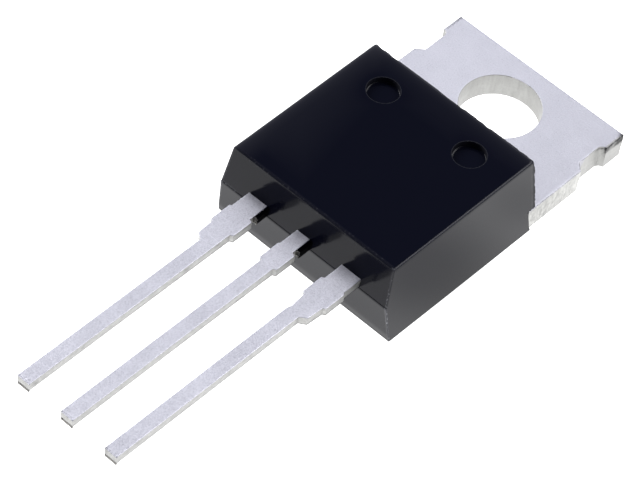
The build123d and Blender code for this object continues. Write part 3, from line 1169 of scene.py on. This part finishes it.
def body_wear(p):
    """Pale worn lines: strong on the upright front edges, faint round the top."""
    upright = fades(gap_to(p, Vector((half_width_at(p.z), body_front_at(p.z)))), 0.035, 0.07)
    parting = fades(abs(p.z - lead_low), 0.004, 0.012) * fades(p.x, -4.3, -3.6)
    parting *= p.y < body_front_at(0.1) + 0.3
    front = fades(max(p.y - upper_front_at(body_top), 0) + (body_top - p.z), 0.08, 0.15)
    return max(upright * (0.25 + 0.5 * (p.z < lead_low)), 0.35 * parting, 0.06 * front,
               0.05 * at_mark_rim(p))


def body_painted_light(p):
    """Painted light, dense at the top's left and far edges and then thinner, and a painted highlight on
    its right edge.
    """
    from_left = max(p.x + top_half_width, 0.06)
    from_far = max(back_wall_at(body_top) - p.y, 0.06)
    left = 0.30 / from_left * fades(from_left, 0.5, 1.5) + 0.5 * fades(from_left, 0.3, 1.2)
    far = 0.30 / from_far * fades(from_far, 0.5, 1.5)
    sunk = body_top - p.z
    right = edge_highlight * fades(sunk, 0.042, 0.055) * smooth(sunk, 0.003, 0.009)
    right *= p.x > top_half_width - 0.1
    return max(min(left + far, full_painted_light), right) * fades(sunk, 0.05, 0.12)


def body_broken(p):
    """Dull torn resin along the far edges, in the ejector marks and on their rims."""
    far_top = smooth(p.y, back_wall_at(body_top) - 0.14, back_wall_at(body_top) - 0.05)
    far_top *= smooth(p.z, body_top - 0.2, body_top - 0.12)
    in_mark = any((p.xy - middle).length < radius + 0.01 for middle, radius in round_marks)
    return max(0.4 * back_edge(p, p.z), 0.8 * far_top, 0.9 * at_mark_rim(p),
               in_mark * (p.z > body_top - 0.27))


mark_points(body, "wear", body_wear)
mark_points(body, "painted_light", body_painted_light)
mark_points(body, "broken", body_broken)
print("bloom in the middle of the top:", round(body_painted_light(Vector((0, -8, body_top))), 2))

# %% [markdown]
# ## Flash between the leads
# Resin ran along the leads as far as the dam bars, and the trim tool cut it level with the
# stubs. Two short black blocks are left, with torn metal where the tool broke through. Plain
# boxes would look added on, so they are rings with rough walls.

# %% Flash blocks from the slice of the body
flash_levels = 8
front_here = upper_front_at(lead_middle)
flash_groups = {}
for p in slice_loops("moulded_body", lead_middle)[0]:
    if p.y < front_here - 0.2:
        flash_groups.setdefault(round(p.x), []).append(p)
print("flash corners found near x =", sorted(flash_groups))


def flash_block(name, left, right, end, seed):
    """Rings of a short block that runs from its torn end back into the body."""
    start = front_here + 0.4
    outline = divide([Vector(c) for c in ((left, end), (right, end), (right, start), (left, start))], 0.04)
    ways = into_material(outline)
    stack = []
    for k in range(flash_levels + 1):
        height = lead_high - 0.004 - (lead_high - lead_low - 0.01) * k / flash_levels
        inset = 0.02 if k in (0, flash_levels) else 0.004
        rough = [inset + 0.012 * abs(grain(p.y * 7, height * 7, seed)) for p in outline]
        stack.append([Vector((*(p + way * r), height)) for p, way, r in zip(outline, ways, rough)])
    return ring_piece(name, [stack], [flash_resin])

# %% Two blocks of flash, each with a burr at its torn end
for index, (_, points) in enumerate(sorted(flash_groups.items())):
    xs, end = [p.x for p in points], min(p.y for p in points)
    flash = flash_block("flash_%d" % index, min(xs), max(xs), end, 5.5 + index)
    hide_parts("moulded_body")
    start = Vector((min(xs) - 0.03, end - 0.09, lead_high - 0.01))
    burr = ribbon("dam_burr_%d" % index, start, Vector((0.02, -0.02, lead_low - lead_high + 0.12)),
                  Vector((0.28, -0.03, 0)), Vector((0, 0.04, 0)), 0.11, 8.7 + index)
    owner = "adjust_lead" if index == 0 else "heat_tab"
    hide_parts(owner)

# %% [markdown]
# ## Pieces inside the resin
# The solder, the die and the bond wires are sealed in and can't be seen. They could share one
# grey, but each gets its own finish, for a cut-away view or a reader who hides the body.

# %% Finishes of the sealed pieces
solder = sheared("dull_solder", (0.42, 0.42, 0.43), (0.58, 0.58, 0.60), 0.45)
silicon = sheared("polished_silicon", (0.10, 0.10, 0.13), (0.16, 0.16, 0.20), 0.18)
wire_metal = sheared("drawn_wire", (0.72, 0.72, 0.73), (0.84, 0.84, 0.85), 0.35)
sealed = {"die_solder": solder, "silicon_die": silicon, "adjust_wire": wire_metal,
          "input_wire": wire_metal, "output_wire": wire_metal}
covered = {"moulded_body": moulded_resin, "heat_tab": tab_plating, "adjust_lead": lead_plating,
           "input_lead": lead_plating}
for name, material in {**sealed, **covered}.items():
    nodes[name].data.materials.clear()
    nodes[name].data.materials.append(material)
print("finished nodes:", len(sealed) + len(covered))

# %% [markdown]
# ## The box of the imported solids
# The dressed part must stay inside the box of the imported solids, which is printed here.

# %% Print the box of the imported solids
print("CAD box in mm:", [[round(1000 * value, 2) for value in corner] for corner in cad_box])
